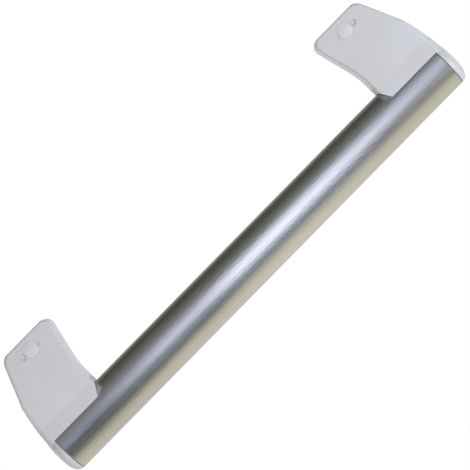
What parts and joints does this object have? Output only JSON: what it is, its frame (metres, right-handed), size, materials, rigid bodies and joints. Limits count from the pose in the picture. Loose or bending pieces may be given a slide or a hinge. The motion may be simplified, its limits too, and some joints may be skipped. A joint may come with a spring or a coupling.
{
  "type": "refrigerator door handle",
  "caption": "Bar handle for a refrigerator door: brushed steel tube held by pale moulded brackets that lean inwards to hollow feet with stud sockets.",
  "frame": {"origin": "middle of the handle on the face of the door, between the two feet", "axes": "+X along the tube towards the lower end, +Y across the handle, +Z out of the door"},
  "size_m": [0.3194, 0.03, 0.0762],
  "materials": {
    "tube_steel": "brushed along the tube",
    "bracket_plastic": "satin, fine moulded grain",
    "cover_plastic": "satin",
    "zinc_steel": "zinc plated",
    "insert_brass": "turned"
  },
  "bodies": {
    "root": {"grip_tube": "tube_steel", "lower_bracket": "bracket_plastic", "lower_screw_cover": "cover_plastic", "lower_stud_socket": "zinc_steel", "lower_lock_screw": "zinc_steel", "lower_thread_insert": "insert_brass", "lower_tube_screw_inner": "zinc_steel", "lower_tube_screw_outer": "zinc_steel", "upper_bracket": "bracket_plastic", "upper_screw_cover": "cover_plastic", "upper_stud_socket": "zinc_steel", "upper_lock_screw": "zinc_steel", "upper_thread_insert": "insert_brass", "upper_tube_screw_inner": "zinc_steel", "upper_tube_screw_outer": "zinc_steel"}
  },
  "joints": []
}
